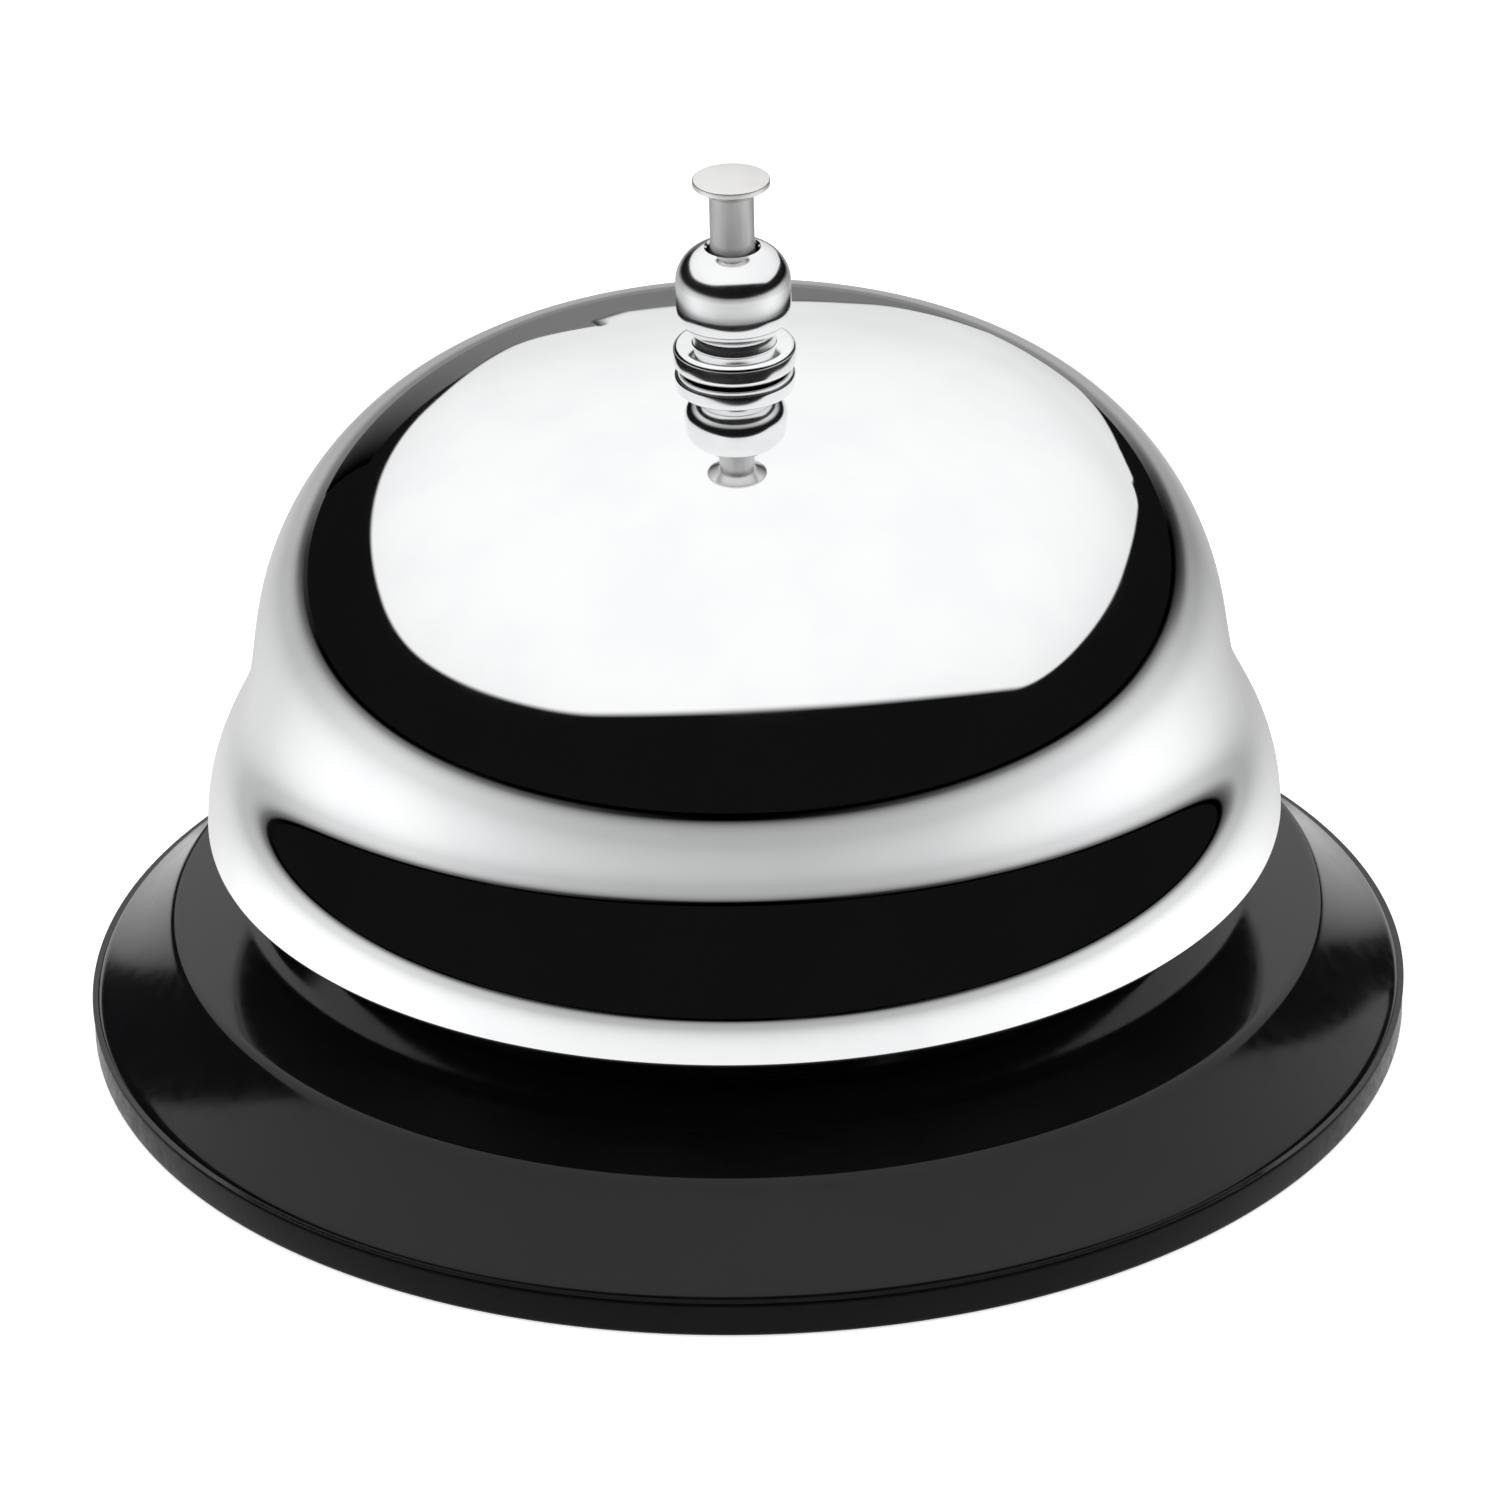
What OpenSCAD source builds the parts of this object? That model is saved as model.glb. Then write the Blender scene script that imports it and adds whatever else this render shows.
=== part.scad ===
// Counter service bell: a chromed steel gong on a black enamelled base, rung by
// a plunger through the top that swings a brass hammer against the inside wall.
// Origin: centre of the face that it stands on. +Z is up, the hammer side is +X.

/* [Base] */
// Radius of the rubber foot ring, the widest part of the bell
base_r = 42.5; // [42.2:0.1:44]
// Height of the foot ring's outer wall
ring_h = 2.4; // [2.2:0.1:2.6]
// Height of the base's raised middle above the table
plate_z = 10.35; // [10.3:0.05:10.4]
// Slope of the step around the raised middle, in degrees
step_slope = 42; // [40:1:44]
// Sheet thickness of the base shell
shell_t = 0.9; // [0.8:0.1:1]
// Radius of the corner between the ledge and the skirt
corner_r = 1.2; // [1.1:0.1:1.4]
// Radius of the hollow skirt
skirt_r = 25; // [24.8:0.1:25.2]
// Slope of the skirt where it meets the rim, in degrees
rim_slope = 38.5; // [38:0.5:39]

/* [Gong] */
// Height of the gong's crown above the table
crown_z = 45.5; // [45.4:0.05:45.6]
// Sheet thickness of the gong
gong_t = 0.9; // [0.7:0.1:1]
// Radius of the shallow crown
crown_r = 74; // [72:1:78]
// Radius of the shoulder
shoulder_r = 18.9; // [18.8:0.1:19]
// Length of the straight waist
waist_len = 3; // [2.6:0.1:3.2]
// Radius of the hollow flare below the waist
flare_r = 10.3; // [10:0.1:10.5]
// Length of the straight skirt
skirt_len = 1.6; // [1.4:0.1:1.8]
// Radius of the rounded lip
lip_r = 11.6; // [11.4:0.1:11.8]

/* [Knob and plunger] */
// Radius of the knob's flange
flange_r = 3.88; // [3.8:0.02:4.2]
// Radius of the knob's bead
bead_r = 3.63; // [3.5:0.02:3.8]
// Diameter of the plunger rod
rod_d = 2.8; // [2.7:0.05:2.85]
// Radius of the button on top of the plunger
button_r = 2.44; // [2.2:0.02:3.4]
// Height of the button's top above the table, at rest
button_z = 58.2; // [58:0.1:59]

/* [Hammer] */
// Distance from the hammer's pivot to the centre of its head
hammer_len = 21.5; // [20:0.1:21.5]
// Radius of the brass head
head_r = 3; // [2.6:0.1:3]
// Angle of the hammer arm below level, at rest
arm_angle = 45; // [44:1:46]

/* [Hidden] */
$fn = 96;
eps = 0.01;
far = 120;

// Running fit between a hole and what turns or slides in it, on the radius
fit = 0.06;
// Gap left around a threaded or pressed joint, on the radius
seat = 0.02;

// Foot ring and bottom plate
ring_in_r = 36;
ring_floor = 1.2;
plate_r = 38.3;
plate_t = 0.8;
plate_top = ring_floor + plate_t;
upstand_r = 39.7;
upstand_top = 3.1;
ring_round = 0.35;
tread_w = 0.8;
tread_d = 0.3;

// Base shell, worked out from the rim inward: a small roll that is cut off level where it
// meets the foot ring, the hollow skirt, a corner, a ledge, a step and the raised middle
roll_r = 1.2;
roll_drop = 0.46;
corner_slope = 54;
ledge_slope = 5;
step_r = 28.6;
step_top_r = 2;
step_low_r = 2.2;
shell_r = base_r - 0.15;
plate_under = plate_z - shell_t;
roll_c = [shell_r - roll_r, ring_h - roll_drop];
skirt_low = roll_c + roll_r * out(rim_slope);
skirt_c = skirt_low + skirt_r * out(rim_slope);
skirt_high = skirt_c - skirt_r * out(corner_slope);
corner_c = skirt_high - corner_r * out(corner_slope);
ledge_end = corner_c + corner_r * out(ledge_slope);
step_c = [step_r, plate_z - step_top_r];
step_high = step_c + step_top_r * out(step_slope);
step_len = ((step_high + step_low_r * out(step_slope) - ledge_end) * out(ledge_slope)
          - step_low_r) / sin(step_slope - ledge_slope);
step_low = step_high + step_len * along(step_slope);
low_c = step_low + step_low_r * out(step_slope);
ledge_start = low_c - step_low_r * out(ledge_slope);

// Fasteners
m3_d = 2.96;
m3_hole = 3.2;
boss_r = 4;
boss_spigot_r = 2;
foot_hole_y = 10.4;
nut_af = 5.5;
nut_h = 2.2;
washer_r = 3;
washer_t = 0.5;

// Yoke that carries the post and the hammer
yoke_t = 1.2;
yoke_in = 5.6;
yoke_out = yoke_in + yoke_t;
bend_in = 0.8;
bend_out = bend_in + yoke_t;
yoke_top = 35.2;
yoke_foot_z = plate_z + yoke_t;
foot_len = 14.2;
yoke_half_w = 5;
ear_r = 3.3;

// Post
post_flange_r = 4.7;
post_r = 4.2;
post_flange_t = 1;
post_top = 43.95;
chamber_r = 3.2;
chamber_top = 43.2;
stem_r = 2.5;
stem_top = 51.5;
stem_hole_r = 2.6;

// Gong washers
lower_washer_t = 0.5;
upper_washer_z = 45.47;
upper_washer_t = 0.53;
upper_washer_r = 3.05;

// Knob heights
knob_z = crown_z;
flange_top = knob_z + 1.55;
neck_r = 2.62;
bead_round = 2.45;
bead_low = knob_z + 4.33;
bead_high = knob_z + 5.7;
flange_round = 0.45;
mouth_r = 1.66;

// Plunger
rod_r = rod_d / 2;
button_rim = 0.4;
button_cone = 0.6;
socket_d = 0.5;
button_base = button_z - button_rim - button_cone;
rod_top = button_base + socket_d;
clip_t = 0.55;
clip_top = 43.12;
clip_r = 2.8;
groove_r = 1;
seat_t = 0.5;
spring_wire = 0.5;
spring_mean_r = 2.2;
spring_turns = 6;
// Height gained by each closed end turn, just over the wire's thickness
spring_end_pitch = spring_wire * 1.04;
spring_z0 = yoke_top + seat_t;
spring_z1 = clip_top - clip_t;

// Hammer
pivot = [9, 29];
pin_r = 0.98;
hub_r = 2.3;
hub_half = 2.4;
bar_t = 1.4;
bar_half_w = 1.5;
tail_angle = 10;
tail_len = 10.6;
bar_end = hammer_len - 4.6;
spigot_r = 1;
spacer_r = 1.8;
pin_head_r = 1.9;
pin_head_t = 0.8;
pin_clip_y = yoke_out + 0.15;
pin_clip_t = 0.4;
pin_groove_r = 0.7;
// The rod's round tip stands just clear of the hammer's tail
tip_gap = 0.12;
tip_z = pivot[1] + pivot[0] * tan(tail_angle)
      + (bar_t / 2 + rod_r) / cos(tail_angle) - rod_r + tip_gap;

// Corner points of the gong's outline, from the crown down to the lip.
// Every angle is the outline's slope below level.
crown_slope = 12.75;
waist_slope = 82;
skirt_slope = 62;
function out(a) = [sin(a), cos(a)];
function along(a) = [cos(a), -sin(a)];
crown_c = [0, crown_z - crown_r];
shoulder_c = crown_c + (crown_r - shoulder_r) * out(crown_slope);
waist_top = shoulder_c + shoulder_r * out(waist_slope);
waist_end = waist_top + waist_len * along(waist_slope);
flare_c = waist_end + flare_r * out(waist_slope);
skirt_top = flare_c - flare_r * out(skirt_slope);
skirt_end = skirt_top + skirt_len * along(skirt_slope);
lip_c = skirt_end - lip_r * out(skirt_slope);
lip_z = lip_c[1];
gong_r = lip_c[0] + lip_r;

// ---------- Helpers ----------

// Sector of a disc about c, between two angles measured from straight up
module sector(c, r, a0, a1) {
  intersection() {
    translate(c) circle(r);
    polygon([c, c + 2 * r * out(a0), c + 2 * r * out(a1)]);
  }
}

// Ring of revolution with a rectangular section
module tube(r_out, r_in, z0, z1) {
  translate([0, 0, z0]) difference() {
    cylinder(r = r_out, h = z1 - z0);
    translate([0, 0, -eps]) cylinder(r = r_in, h = z1 - z0 + 2 * eps);
  }
}

// The same, lying along Y about the hammer's pivot
module pivot_tube(r_out, r_in, y0, y1) {
  translate([pivot[0], y1, pivot[1]]) rotate([90, 0, 0]) tube(r_out, r_in, 0, y1 - y0);
}

// Screw with a round head below z and a shank up to shank_top
module pan_screw(head_r, head_h, z, shank_top) {
  difference() {
    union() {
      translate([0, 0, z - head_h]) cylinder(r = head_r, h = head_h);
      translate([0, 0, z - eps]) cylinder(d = m3_d, h = shank_top - z + eps);
    }
    for (a = [0, 90]) rotate(a)
      translate([-head_r * 0.6, -0.3, z - head_h - eps]) cube([head_r * 1.2, 0.6, 0.5]);
  }
}

// Both places where the yoke is bolted down
module at_feet() {
  for (s = [-1, 1]) translate([0, s * foot_hole_y, 0]) children();
}

// ---------- Base ----------

module foot_ring() {
  color("#1b1b1c") rotate_extrude() difference() {
    union() {
      translate([ring_in_r, 0]) square([base_r - ring_round - ring_in_r, ring_h]);
      translate([ring_in_r, ring_round]) square([base_r - ring_in_r, ring_h - 2 * ring_round]);
      for (z = [ring_round, ring_h - ring_round])
        translate([base_r - ring_round, z]) circle(ring_round);
      translate([plate_r + 0.2, ring_floor]) square([upstand_r - plate_r - 0.2, upstand_top - ring_floor]);
    }
    translate([ring_in_r - 1, ring_floor]) square([plate_r + 1.1 - ring_in_r, 5]);
    for (r = [37.4, 39.4]) translate([r, -eps]) square([tread_w, tread_d + eps]);
  }
}

module bottom_plate() {
  color("#8d9092") difference() {
    union() {
      translate([0, 0, ring_floor]) cylinder(r = plate_r, h = plate_t);
      // Two pressed beads stiffen the sheet
      for (r = [14, 26]) tube(r + 0.9, r - 0.9, plate_top - eps, plate_top + 0.5);
    }
    for (r = [14, 26]) tube(r + 0.5, r - 0.5, ring_floor - eps, ring_floor + 0.5);
    translate([0, 0, ring_floor - 1]) cylinder(d = m3_hole, h = 3);
  }
}

module base_boss() {
  color("#a9acae") difference() {
    union() {
      translate([0, 0, plate_top]) cylinder(r = boss_r, h = plate_under - plate_top);
      translate([0, 0, plate_under - eps]) cylinder(r = boss_spigot_r, h = shell_t + eps);
    }
    translate([0, 0, plate_top - eps]) cylinder(r = m3_d / 2 + seat, h = 5.2);
  }
}

module bottom_screw() {
  color("#b9bcbe") pan_screw(2.8, 0.9, ring_floor, 6.6);
}

// Solid bounded by the base shell's upper face moved inward by t, and flat at height z0
module base_solid(t, z0) {
  rotate_extrude() difference() {
    polygon([
      [0, z0], [0, plate_z - t], [step_r, plate_z - t],
      step_high - t * out(step_slope), step_low - t * out(step_slope),
      low_c,
      ledge_start - t * out(ledge_slope), ledge_end - t * out(ledge_slope),
      skirt_high - t * out(corner_slope),
      skirt_c,
      skirt_low - t * out(rim_slope), [skirt_low[0] - t * sin(rim_slope), z0]
    ]);
    translate(low_c) circle(step_low_r + t);
    translate(skirt_c) circle(skirt_r + t);
  }
  rotate_extrude() sector(step_c, step_top_r - t, 0, step_slope);
  rotate_extrude() sector(corner_c, corner_r - t, ledge_slope, corner_slope);
}

module base_shell() {
  color("#0c0c0e") difference() {
    union() {
      base_solid(0, ring_h);
      rotate_extrude() intersection() {
        sector(roll_c, roll_r, rim_slope, 90);
        translate([0, ring_h]) square([far, far]);
      }
    }
    base_solid(shell_t, 0);
    cylinder(r = boss_spigot_r + seat, h = 20);
    at_feet() cylinder(d = m3_hole, h = 20);
  }
}

// ---------- Yoke and post ----------

// Bent strip seen along X: top, two legs and two feet
module yoke_strip() {
  for (m = [0, 1]) mirror([m, 0]) {
    translate([0, yoke_top - yoke_t]) square([yoke_in - bend_in, yoke_t]);
    translate([yoke_in - bend_in, yoke_top - bend_out]) intersection() {
      difference() {
        circle(bend_out);
        circle(bend_in);
      }
      square(bend_out);
    }
    translate([yoke_in, yoke_foot_z + bend_in])
      square([yoke_t, yoke_top - bend_out - yoke_foot_z - bend_in]);
    translate([yoke_out + bend_in, yoke_foot_z + bend_in]) intersection() {
      difference() {
        circle(bend_out);
        circle(bend_in);
      }
      translate([-bend_out, -bend_out]) square(bend_out);
    }
    translate([yoke_out + bend_in, plate_z]) square([foot_len - yoke_out - bend_in, yoke_t]);
  }
}

// Outline of the blank seen along Y, with the ears that hold the pivot pin
module yoke_side() {
  difference() {
    union() {
      translate([-yoke_half_w, 0]) square([2 * yoke_half_w, 60]);
      translate([0, pivot[1] - ear_r]) square([pivot[0], 2 * ear_r]);
      translate(pivot) circle(ear_r);
    }
    translate(pivot) circle(pin_r + seat);
  }
}

module yoke() {
  color("#9ea2a6") difference() {
    intersection() {
      rotate([90, 0, 90]) translate([0, 0, -20]) linear_extrude(40) yoke_strip();
      translate([0, 20, 0]) rotate([90, 0, 0]) linear_extrude(40) yoke_side();
    }
    at_feet() cylinder(d = m3_hole, h = 20);
    translate([0, 0, yoke_top - 3]) cylinder(r = rod_r + fit, h = 5);
  }
}

module yoke_screws() {
  color("#c6c8ca") at_feet() pan_screw(2.6, 1.7, plate_under, yoke_foot_z + washer_t + nut_h + 0.6);
}

module yoke_washers() {
  color("#b4b7ba") at_feet()
    tube(washer_r, m3_hole / 2, yoke_foot_z, yoke_foot_z + washer_t);
}

module yoke_nuts() {
  nut_z = yoke_foot_z + washer_t;
  color("#c6c8ca") at_feet() difference() {
    translate([0, 0, nut_z]) cylinder(d = nut_af / cos(30), h = nut_h, $fn = 6);
    translate([0, 0, nut_z - eps]) cylinder(r = m3_d / 2 + seat, h = nut_h + 1);
  }
}

module center_post() {
  color("#b9bcbe") difference() {
    union() {
      translate([0, 0, yoke_top]) cylinder(r = post_flange_r, h = post_flange_t);
      translate([0, 0, yoke_top]) cylinder(r = post_r, h = post_top - yoke_top);
      translate([0, 0, post_top - eps]) cylinder(r = stem_r, h = stem_top - post_top + eps);
    }
    translate([0, 0, yoke_top - eps]) cylinder(r = chamber_r, h = chamber_top - yoke_top + eps);
    cylinder(r = rod_r + fit, h = far);
  }
}

// ---------- Gong ----------

// Filled section of the gong, drawn inward by t from the outer surface
module gong_section(t) {
  intersection() {
    union() {
      difference() {
        polygon([
          [0, lip_z], [gong_r - t, lip_z],
          skirt_end - t * out(skirt_slope), skirt_top - t * out(skirt_slope),
          flare_c,
          waist_end - t * out(waist_slope), waist_top - t * out(waist_slope),
          crown_c + (crown_r - t) * out(crown_slope),
          crown_c + [0, (crown_r - t) * cos(crown_slope)]
        ]);
        translate(flare_c) circle(flare_r + t);
      }
      sector(lip_c, lip_r - t, skirt_slope, 90);
      sector(shoulder_c, shoulder_r - t, crown_slope, waist_slope);
      sector(crown_c, crown_r - t, 0, crown_slope);
    }
    translate([0, lip_z]) square([far, far]);
  }
}

module gong() {
  color("#d9dbde") difference() {
    rotate_extrude() {
      difference() {
        gong_section(0);
        gong_section(gong_t);
      }
      // Rounded lip edge
      translate([gong_r - gong_t / 2, lip_z]) circle(gong_t / 2);
    }
    cylinder(r = stem_hole_r, h = far);
  }
}

module lower_gong_washer() {
  color("#7b2f22") tube(post_r, stem_hole_r, post_top, post_top + lower_washer_t);
}

module upper_gong_washer() {
  color("#7b2f22") tube(upper_washer_r, stem_hole_r, upper_washer_z, upper_washer_z + upper_washer_t);
}

// ---------- Knob ----------

module knob() {
  recess_top = upper_washer_z + upper_washer_t;
  color("#d9dbde") rotate_extrude() difference() {
    union() {
      // Flange
      translate([0, knob_z]) square([flange_r - flange_round, flange_top - knob_z]);
      translate([0, knob_z + flange_round])
        square([flange_r, flange_top - knob_z - 2 * flange_round]);
      for (z = [knob_z + flange_round, flange_top - flange_round])
        translate([flange_r - flange_round, z]) circle(flange_round);
      // Neck
      translate([0, flange_top - eps]) square([neck_r, bead_low - flange_top]);
      // Bead
      translate([0, bead_low]) square([bead_r, bead_high - bead_low]);
      translate([0, bead_low]) square([bead_r - bead_round, bead_high + bead_round - bead_low]);
      for (z = [bead_low, bead_high]) intersection() {
        translate([bead_r - bead_round, z]) circle(bead_round);
        square([far, far]);
      }
    }
    square([upper_washer_r + seat, recess_top]);
    square([stem_r + seat, stem_top + seat]);
    square([mouth_r, far]);
  }
}

// ---------- Plunger ----------

module plunger_button() {
  rim_z = button_z - button_rim;
  edge = button_rim / 2;
  color("#c9cbcd") rotate_extrude() difference() {
    union() {
      translate([0, rim_z]) square([button_r - edge, button_rim]);
      translate([button_r - edge, rim_z + edge]) circle(edge);
      polygon([[0, button_base], [rod_r + 0.15, button_base], [button_r - edge, rim_z + eps], [0, rim_z + eps]]);
    }
    translate([0, button_base - eps]) square([rod_r, socket_d + eps]);
  }
}

module plunger_rod() {
  color("#a7a9ac") rotate_extrude() difference() {
    union() {
      translate([0, tip_z + rod_r]) square([rod_r, rod_top - tip_z - rod_r]);
      intersection() {
        translate([0, tip_z + rod_r]) circle(rod_r);
        square([far, far]);
      }
    }
    translate([groove_r, clip_top - clip_t - seat]) square([rod_r, clip_t + 2 * seat]);
  }
}

module plunger_clip() {
  color("#3c3e40") difference() {
    tube(clip_r, groove_r + seat, clip_top - clip_t, clip_top);
    translate([0, -0.8, clip_top - 1]) cube([clip_r + 1, 1.6, 2]);
  }
}

module spring_seat() {
  color("#b4b7ba") tube(3, rod_r + 0.25, yoke_top, yoke_top + seat_t);
}

// Round wire swept along a helix with a closed turn at each end
module plunger_spring() {
  sides = 8;
  per_turn = 16;
  last = spring_turns * per_turn;
  rise = spring_z1 - spring_z0 - spring_wire;
  open_pitch = (rise - 2 * spring_end_pitch) / (spring_turns - 2);
  // Height gained after u turns
  function climb(u) = spring_end_pitch * (min(u, 1) + max(u - spring_turns + 1, 0))
    + open_pitch * max(min(u, spring_turns - 1) - 1, 0);
  function spot(i) = spring_z0 + spring_wire / 2 + climb(i / per_turn);
  function ring_pt(i, k) = let (
    a = 360 * i / per_turn,
    b = 360 * k / sides,
    r = spring_mean_r + spring_wire / 2 * cos(b)
  ) [r * cos(a), r * sin(a), spot(i) + spring_wire / 2 * sin(b)];
  color("#c9cbcd") polyhedron(
    points = [for (i = [0:last], k = [0:sides - 1]) ring_pt(i, k)],
    faces = concat(
      [[for (k = [0:sides - 1]) k]],
      [[for (k = [sides - 1:-1:0]) last * sides + k]],
      [for (i = [0:last - 1], k = [0:sides - 1]) let (n = (k + 1) % sides)
        [i * sides + k, (i + 1) * sides + k, (i + 1) * sides + n, i * sides + n]]
    )
  );
}

// ---------- Hammer ----------

// Flat bar from the pivot, at an angle in the XZ plane, with a round end
module lever_bar(angle, length) {
  translate([pivot[0], bar_half_w, pivot[1]]) rotate([90, 0, 0]) linear_extrude(2 * bar_half_w)
    rotate(angle) {
      translate([0, -bar_t / 2]) square([length - bar_t / 2, bar_t]);
      translate([length - bar_t / 2, 0]) circle(bar_t / 2);
    }
}

module hammer_lever() {
  color("#a7a9ac") difference() {
    union() {
      pivot_tube(hub_r, pin_r / 2, -hub_half, hub_half);
      lever_bar(180 - tail_angle, tail_len);
      lever_bar(-arm_angle, bar_end);
      translate([pivot[0], 0, pivot[1]]) rotate([0, 90 + arm_angle, 0])
        translate([0, 0, bar_end - 2]) cylinder(r = spigot_r, h = hammer_len + head_r - 0.3 - bar_end + 2);
    }
    pivot_tube(pin_r + fit, 0, -hub_half - 1, hub_half + 1);
  }
}

module hammer_head() {
  color("#c2994e") translate([pivot[0], 0, pivot[1]]) rotate([0, 90 + arm_angle, 0])
    translate([0, 0, hammer_len]) difference() {
      sphere(head_r);
      translate([0, 0, -head_r - 1]) cylinder(r = spigot_r + seat, h = 2 * head_r + 2);
    }
}

module pivot_pin() {
  color("#c6c8ca") difference() {
    union() {
      pivot_tube(pin_r, 0, -yoke_out, pin_clip_y + pin_clip_t + 0.7);
      pivot_tube(pin_head_r, 0, -yoke_out - pin_head_t, -yoke_out);
    }
    pivot_tube(pin_r + 1, pin_groove_r, pin_clip_y - seat, pin_clip_y + pin_clip_t + seat);
  }
}

module pivot_clip() {
  color("#3c3e40") difference() {
    pivot_tube(pin_head_r, pin_groove_r + seat, pin_clip_y, pin_clip_y + pin_clip_t);
    translate([pivot[0] - 0.5, 0, pivot[1] - 3]) cube([1, 20, 3]);
  }
}

module pivot_spacers() {
  color("#e8e4d8") {
    pivot_tube(spacer_r, pin_r + fit, hub_half + 0.1, yoke_in - 0.1);
    pivot_tube(spacer_r, pin_r + fit, 0.1 - yoke_in, -hub_half - 0.1);
  }
}

foot_ring();
bottom_plate();
base_boss();
bottom_screw();
base_shell();
yoke();
yoke_screws();
yoke_washers();
yoke_nuts();
center_post();
lower_gong_washer();
gong();
upper_gong_washer();
knob();
plunger_button();
plunger_rod();
plunger_clip();
plunger_spring();
spring_seat();
hammer_lever();
hammer_head();
pivot_pin();
pivot_clip();
pivot_spacers();
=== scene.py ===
import math

import bmesh
import bpy
import numpy as np
from mathutils import Matrix, Vector


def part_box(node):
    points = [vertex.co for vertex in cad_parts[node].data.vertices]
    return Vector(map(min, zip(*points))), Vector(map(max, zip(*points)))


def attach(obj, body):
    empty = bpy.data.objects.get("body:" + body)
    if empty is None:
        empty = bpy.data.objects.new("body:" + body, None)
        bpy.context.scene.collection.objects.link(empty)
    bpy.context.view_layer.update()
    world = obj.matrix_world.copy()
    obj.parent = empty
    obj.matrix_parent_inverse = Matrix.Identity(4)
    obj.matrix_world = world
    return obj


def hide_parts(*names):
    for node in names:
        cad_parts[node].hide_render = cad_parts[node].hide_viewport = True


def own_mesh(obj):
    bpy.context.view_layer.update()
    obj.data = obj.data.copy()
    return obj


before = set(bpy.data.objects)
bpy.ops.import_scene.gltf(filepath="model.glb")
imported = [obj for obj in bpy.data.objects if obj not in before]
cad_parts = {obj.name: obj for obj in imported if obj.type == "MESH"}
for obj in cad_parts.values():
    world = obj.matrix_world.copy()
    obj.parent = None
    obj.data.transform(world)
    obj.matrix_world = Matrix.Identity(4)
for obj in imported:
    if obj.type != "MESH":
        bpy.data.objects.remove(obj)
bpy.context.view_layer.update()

MM = 0.001
AROUND = 288  # faces round a mirror surface

# ---------- Places read from the frame, in millimetres ----------


def corners(node):
    """Low and high corner of a node's box."""
    lo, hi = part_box(node)
    return [c / MM for c in lo], [c / MM for c in hi]


gong_lo, gong_hi = corners("gong")
base_lo, base_hi = corners("base_shell")
ring_hi = corners("foot_ring")[1]
knob_lo = corners("knob")[0]
button_hi = corners("plunger_button")[1]
rod_lo, rod_hi = corners("plunger_rod")
clip_lo, clip_hi = corners("plunger_clip")
spring_lo, spring_hi = corners("plunger_spring")

# ---------- Outlines: lists of (radius, height) in millimetres ----------


def away(a):
    """Outward normal of an outline whose slope below level is a degrees."""
    return np.array([math.sin(math.radians(a)), math.cos(math.radians(a))])


def along(a):
    """Direction of travel down an outline whose slope below level is a degrees."""
    return np.array([math.cos(math.radians(a)), -math.sin(math.radians(a))])


def arc(centre, r, a0, a1, step=0.25):
    """Points of an arc between two angles from straight up, about step mm apart."""
    n = max(3, int(abs(math.radians(a1 - a0)) * abs(r) / step) + 1)
    return [np.array(centre) + r * away(a) for a in np.linspace(a0, a1, n)]


def resample(points, step):
    """The same outline with its points about step mm apart."""
    p = np.array(points, float)
    s = np.concatenate([[0], np.cumsum(np.hypot(*np.diff(p, axis=0).T))])
    keep = np.concatenate([[True], np.diff(s) > 1e-9])
    p, s = p[keep], s[keep]
    t = np.linspace(0, s[-1], max(3, int(round(s[-1] / step)) + 1))
    return np.column_stack([np.interp(t, s, p[:, 0]), np.interp(t, s, p[:, 1])])


def soften(points, sigma):
    """Smooths the direction of an outline over sigma mm. Both ends stay where they are."""
    step = 0.05
    p = resample(points, step)
    turn = np.unwrap(np.arctan2(np.diff(p[:, 1]), np.diff(p[:, 0])))
    reach = int(3 * sigma / step)
    kernel = np.exp(-0.5 * (np.arange(-reach, reach + 1) * step / sigma) ** 2)
    padded = np.concatenate([np.full(reach, turn[0]), turn, np.full(reach, turn[-1])])
    turn = np.convolve(padded, kernel / kernel.sum(), "valid")
    size = np.hypot(*np.diff(p, axis=0).T)
    walk = np.cumsum(np.column_stack([np.cos(turn) * size, np.sin(turn) * size]), axis=0)
    q = p[0] + np.vstack([[0, 0], walk])
    return q + np.linspace(0, 1, len(q))[:, None] * (p[-1] - q[-1])


def inset(points, t):
    """The same outline, moved t mm to the right of its direction of travel."""
    p = np.array(points)
    d = np.gradient(p, axis=0)
    d /= np.hypot(d[:, 0], d[:, 1])[:, None]
    return p + t * np.column_stack([d[:, 1], -d[:, 0]])


def thin(points, every):
    """One point in every so many, and the last."""
    return [p for i, p in enumerate(points) if i % every == 0 or i == len(points) - 1]


def rounded(corner_list):
    """Closed outline from (r, z) or (r, z, fillet radius) corners."""
    pts = [(c[0], c[1], c[2] if len(c) > 2 else 0.0) for c in corner_list]
    loop = []
    for i, (x, y, f) in enumerate(pts):
        here = np.array([x, y])
        before = np.array(pts[i - 1][:2]) - here
        after = np.array(pts[(i + 1) % len(pts)][:2]) - here
        if f <= 0:
            loop.append(here)
            continue
        before /= np.hypot(*before)
        after /= np.hypot(*after)
        half = math.acos(max(-1, min(1, float(before @ after)))) / 2
        mid = before + after
        centre = here + mid / np.hypot(*mid) * f / math.sin(half)
        start = here + before * f / math.tan(half) - centre
        end = here + after * f / math.tan(half) - centre
        a0, a1 = math.atan2(start[1], start[0]), math.atan2(end[1], end[0])
        sweep = (a1 - a0 + math.pi) % (2 * math.pi) - math.pi
        for k in range(7):
            a = a0 + sweep * k / 6
            loop.append(centre + f * np.array([math.cos(a), math.sin(a)]))
    return loop


# ---------- Meshes ----------


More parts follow.
